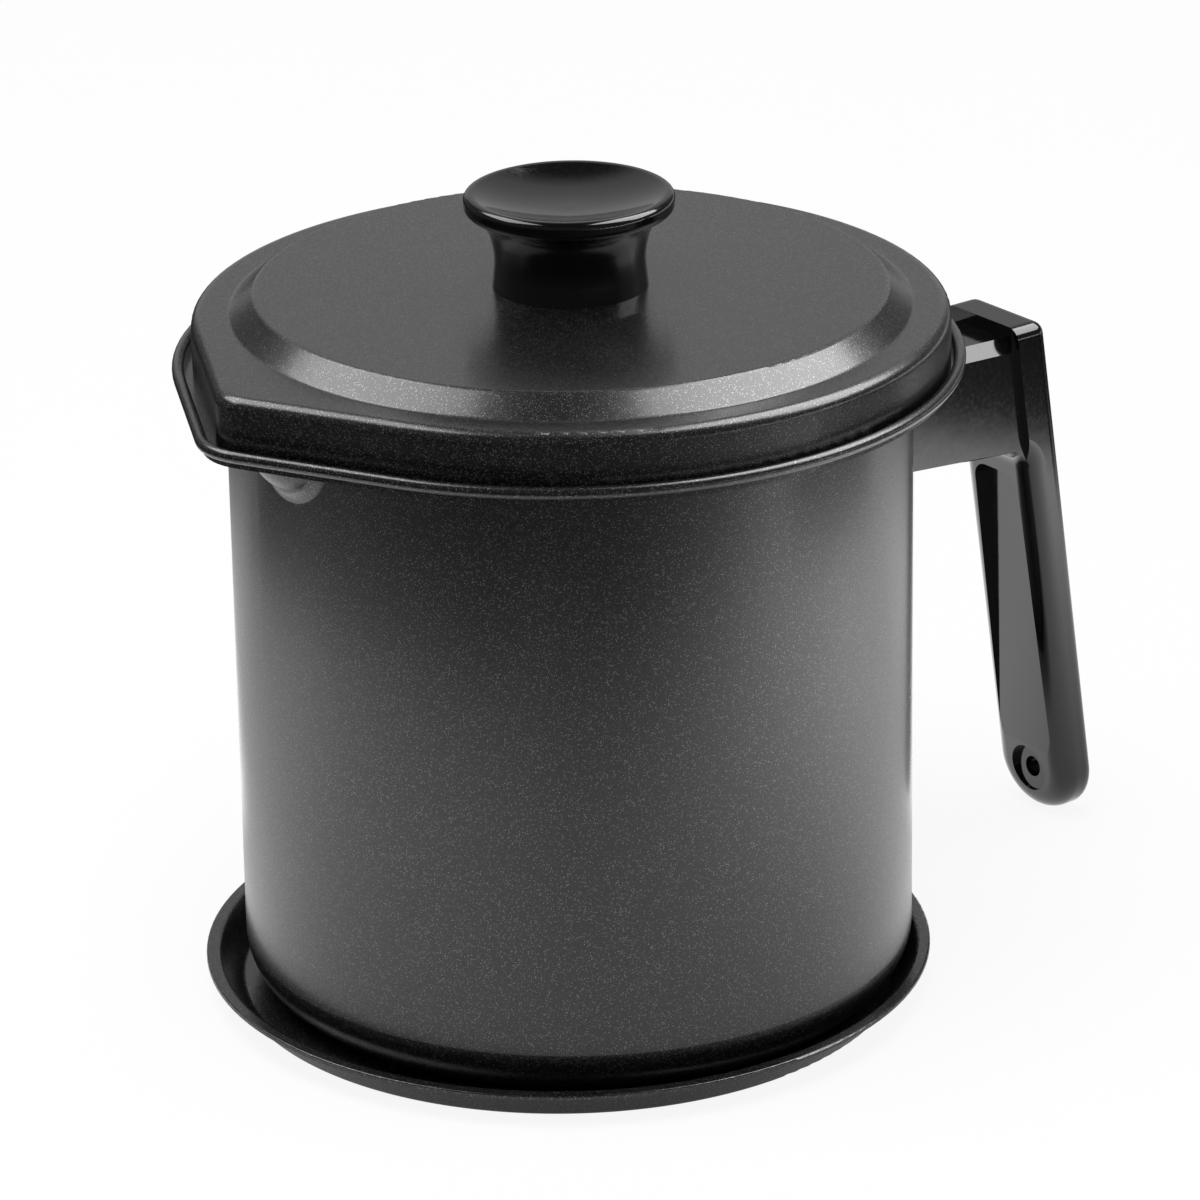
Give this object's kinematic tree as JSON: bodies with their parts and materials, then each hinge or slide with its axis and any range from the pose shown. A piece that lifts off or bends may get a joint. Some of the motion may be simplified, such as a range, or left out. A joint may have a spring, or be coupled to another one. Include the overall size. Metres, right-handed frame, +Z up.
{
  "type": "bacon grease container",
  "caption": "Dark coated grease keeper: straight pot with beaded rim, V spout and tall moulded handle, stepped lid with dished knob, hanging mesh strainer and loose drip tray.",
  "frame": {"origin": "underside of the drip tray on the pot's axis", "axes": "+Z up along the pot's axis, +X towards the handle, -X towards the spout"},
  "size_m": [0.2005, 0.144, 0.1527],
  "materials": {
    "dark_coating": "satin charcoal non-stick coating with fine bright flecks",
    "black_moulding": "glossy black moulded plastic",
    "bright_steel": "bright stainless steel",
    "wire_mesh": "fine woven stainless wire",
    "insert_brass": "turned brass"
  },
  "bodies": {
    "tray": {"drip_tray": "dark_coating"},
    "pot": {"pot_body": "dark_coating", "handle": "black_moulding", "handle_plate": "bright_steel", "handle_boss": "bright_steel", "handle_screw": "bright_steel", "handle_washer": "bright_steel"},
    "strainer": {"strainer_ring": "bright_steel", "strainer_mesh": "wire_mesh", "strainer_band": "bright_steel", "strainer_loop_left": "bright_steel", "strainer_loop_right": "bright_steel"},
    "lid": {"lid_shell": "dark_coating", "knob": "black_moulding", "knob_insert": "insert_brass", "knob_washer": "bright_steel", "knob_screw": "bright_steel"}
  },
  "joints": [
    {"name": "pot_lift", "type": "slide", "parent": "tray", "child": "pot", "axis": [0, 0, 1], "range_m": [0, 0.04]},
    {"name": "strainer_lift", "type": "slide", "parent": "pot", "child": "strainer", "axis": [0, 0, 1], "range_m": [0, 0.07]},
    {"name": "lid_lift", "type": "slide", "parent": "strainer", "child": "lid", "axis": [0, 0, 1], "range_m": [0, 0.07]}
  ]
}
